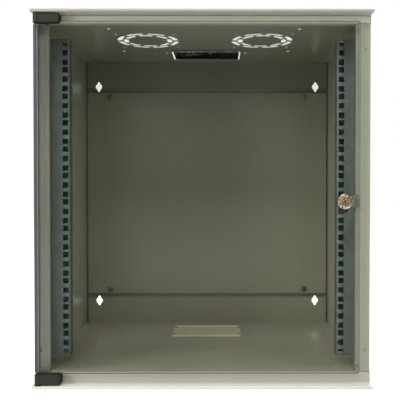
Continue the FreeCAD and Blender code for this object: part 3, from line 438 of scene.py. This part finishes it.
finish = {
    coat: ["roof_panel", "base_panel", "front_bottom_rail"],
    top_rail_lit_coat: ["front_top_rail"],
    side_shaded_coat: ["side_panel_left", "side_panel_right"],
    rear_coat: ["rear_panel"],
    member_coat: ["rear_top_member", "rear_bottom_member"],
    rail_coat: ["rack_rail_left", "rack_rail_right", "rail_bracket_left_low",
                "rail_bracket_left_high", "rail_bracket_right_low", "rail_bracket_right_high"],
    cream: ["floor_cover"],
    dark_zinc: ["rear_panel_screws"],
    zinc: ["rail_bolts", "rail_nuts", "bracket_studs", "bracket_nuts",
           "floor_cover_screws", "hinge_pin_top", "hinge_pin_bottom"],
    strike_zinc: ["strike_plate", "strike_rivets"],
    steel: ["lock_nut", "lock_cam", "cam_screw"],
    stud_shaded_coat: ["flange_studs"],
    clear_rubber: ["door_buffers"],
    nickel: ["lock_body"],
    brass: ["lock_plug"],
    aluminium: ["brush_holder_front", "brush_holder_rear"],
    black_cast: ["hinge_cap_top", "hinge_cap_bottom"],
    rubber: ["glass_pad_top", "glass_pad_bottom", "lock_gasket", "lock_washer"],
    seal_rubber: ["door_edge_seal"],
    nylon: ["hinge_bush_top", "hinge_bush_bottom"],
    glass: ["door_glass"],
}
for material, names in finish.items():
    for name in names:
        for held in nodes[name].material_slots:
            held.material = material


# ---------------------------------------------------------------- roof brush
strand_radius = 0.0003
strand_taper = 0.45
strand_flatness = 0.6
strand_steps = 4
strand_corners = (90, 210, 330)     # degrees round a strand
strand_lean = 0.0012                # sideways, spread of the tips
strand_drop = 0.0004                # up or down, at the tips


def clamped(value, limits):
    return min(max(value, limits[0]), limits[1])


def strand_rings(x, root, end, z, lean, drop, x_limits, z_limits):
    """Corners of a tapered strand that bends more towards its tip."""
    corners = []
    for j in range(strand_steps + 1):
        t = j / strand_steps
        y = root + (end - root) * t
        cx = clamped(x + lean * t * t, x_limits)
        cz = clamped(z + drop * t * t, z_limits)
        r = strand_radius * (1 - strand_taper * t)
        for a in strand_corners:
            corners.append((cx + r * math.cos(math.radians(a)), y,
                            cz + r * math.sin(math.radians(a)) * strand_flatness))
    return corners


def strand_faces(first):
    """Sides and closed tip of a strand whose first corner has this number."""
    n = len(strand_corners)
    faces = []
    for j in range(strand_steps):
        for a in range(n):
            p = first + j * n + a
            q = first + j * n + (a + 1) % n
            faces.append((p, q, q + n, p + n))
    tip = first + strand_steps * n
    faces.append(tuple(range(tip, tip + n)))
    return faces


def bristle_row(name, node, material, count, rag, seed, past=0.0, wider=0.0):
    """Tapered strands from the holder to ragged tips, some past the CAD block's end."""
    rng = random.Random(seed)
    low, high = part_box(node)
    to_back = node.endswith("front")
    root = low[1] if to_back else high[1]
    tip = high[1] if to_back else low[1]
    x_limits = (low[0] - wider, high[0] + wider)
    z_limits = (low[2] + 0.0002, high[2] - 0.0002)
    row = high[0] - low[0] + 2 * wider
    verts, faces = [], []
    for k in range(count):
        x = x_limits[0] + row * (k + rng.random()) / count
        z = rng.uniform(low[2] + 0.0004, high[2] - 0.0004)
        lean = rng.gauss(0, strand_lean)
        drop = rng.uniform(-strand_drop, strand_drop)
        end = tip + (root - tip) * rag * rng.random() ** 2
        end += math.copysign(past, tip - root) * rng.random() ** 3
        faces += strand_faces(len(verts))
        verts += strand_rings(x, root, end, z, lean, drop, x_limits, z_limits)
    mesh = bpy.data.meshes.new(name)
    mesh.from_pydata(verts, [], faces)
    mesh.update()
    for polygon in mesh.polygons:
        polygon.use_smooth = True
    piece = bpy.data.objects.new(name, mesh)
    bpy.context.collection.objects.link(piece)
    mesh.materials.append(material)
    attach(piece, "cabinet")
    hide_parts(node)


bristle_row("brush_front_strands", "brush_bristles_front", bristle_painted_lit,
            count=1200, rag=0.3, seed=3, wider=0.003)
bristle_row("brush_rear_strands", "brush_bristles_rear", bristle_black,
            count=1500, rag=0.04, seed=7, past=0.012)


# ---------------------------------------------------------------- stage, light, camera
floor_reach = 6.0
floor_glow = 0.92
footprint = {"X": 0.265, "Y": 0.195}     # half sizes, a little inside the base
ambient_light = 0.02
plain_white = (1, 1, 1, 1)


def stage_floor():
    """Pale floor that camera and mirrors see as white, except in the cabinet's footprint."""
    mesh = bpy.data.meshes.new("stage_floor")
    r = floor_reach
    mesh.from_pydata([(-r, -r, 0), (r, -r, 0), (r, r, 0), (-r, r, 0)], [], [(0, 1, 2, 3)])
    floor = bpy.data.objects.new("stage_floor", mesh)
    bpy.context.collection.objects.link(floor)
    s = Shader("pale_floor")
    base = s.between(s.noise(1.5, detail=2.0), (0.86, 0.86, 0.86), (0.9, 0.9, 0.9))
    lit = s.surface(base, 0.9, Emission_Color=plain_white)
    path = s.node("ShaderNodeLightPath").outputs
    seen = s.calc("MAXIMUM", path["Is Camera Ray"], path["Is Glossy Ray"])
    outside = [s.calc("GREATER_THAN", s.calc("ABSOLUTE", s.axis(letter)), reach)
               for letter, reach in footprint.items()]
    glow = s.calc("MULTIPLY", s.calc("MAXIMUM", *outside), floor_glow)
    s.link(s.calc("MULTIPLY", seen, glow), lit.inputs["Emission Strength"])
    mesh.materials.append(s.material)


def world_light():
    """Faint even light, and plain white for the rays that see past the object."""
    world = bpy.data.worlds.new("studio")
    bpy.context.scene.world = world
    world.use_nodes = True
    g = Graph(world.node_tree)
    ambient = g.node("ShaderNodeBackground", Color=(1.0, 0.99, 0.97, 1), Strength=ambient_light)
    shown = g.node("ShaderNodeBackground", Color=plain_white, Strength=1.0)
    path = g.node("ShaderNodeLightPath").outputs
    seen = g.calc("MAXIMUM", path["Is Camera Ray"], path["Is Glossy Ray"])
    seen = g.calc("MAXIMUM", seen, path["Is Transmission Ray"])
    out = g.node("ShaderNodeOutputWorld")
    g.link(g.blend(seen, ambient.outputs[0], shown.outputs[0]), out.inputs["Surface"])


def lamp(name, place, target, size, power):
    """Rectangular lamp at a place, turned to its target."""
    data = bpy.data.lights.new(name, "AREA")
    data.shape = "RECTANGLE"
    data.size, data.size_y = size
    data.energy = power
    o = bpy.data.objects.new(name, data)
    bpy.context.collection.objects.link(o)
    o.location = place
    o.rotation_euler = (Vector(target) - Vector(place)).to_track_quat("-Z", "Y").to_euler()


stage_floor()
world_light()
lamp("over", (0.0, -0.42, 3.0), (0, -0.3, 0), (2.4, 0.25), 34)
lamp("high", (-0.15, -1.53, 1.83), (0, 0, 0.2), (1.1, 0.5), 14.5)
lamp("left", (-1.9, -1.5, 0.9), (0, 0, 0.3), (0.8, 1.2), 25)
lamp("right", (1.9, -1.5, 0.9), (0, 0, 0.3), (0.8, 1.2), 8)
lamp("back", (0.6, 2.4, 1.5), (0, 0, 0.3), (1.4, 1.0), 26)

camera_data = bpy.data.cameras.new("camera")
camera = bpy.data.objects.new("camera", camera_data)
bpy.context.collection.objects.link(camera)
camera.location = (0.0258, -1.145, 0.3274)
camera.rotation_euler = (math.radians(90 - 0.87), 0, math.radians(-0.25))
camera_data.sensor_width = 36.0
camera_data.lens = 54.13
camera_data.shift_x = -0.0535
camera_data.shift_y = -0.0208
camera_data.clip_start = 0.05
bpy.context.scene.camera = camera
bpy.context.scene.view_settings.view_transform = "Standard"
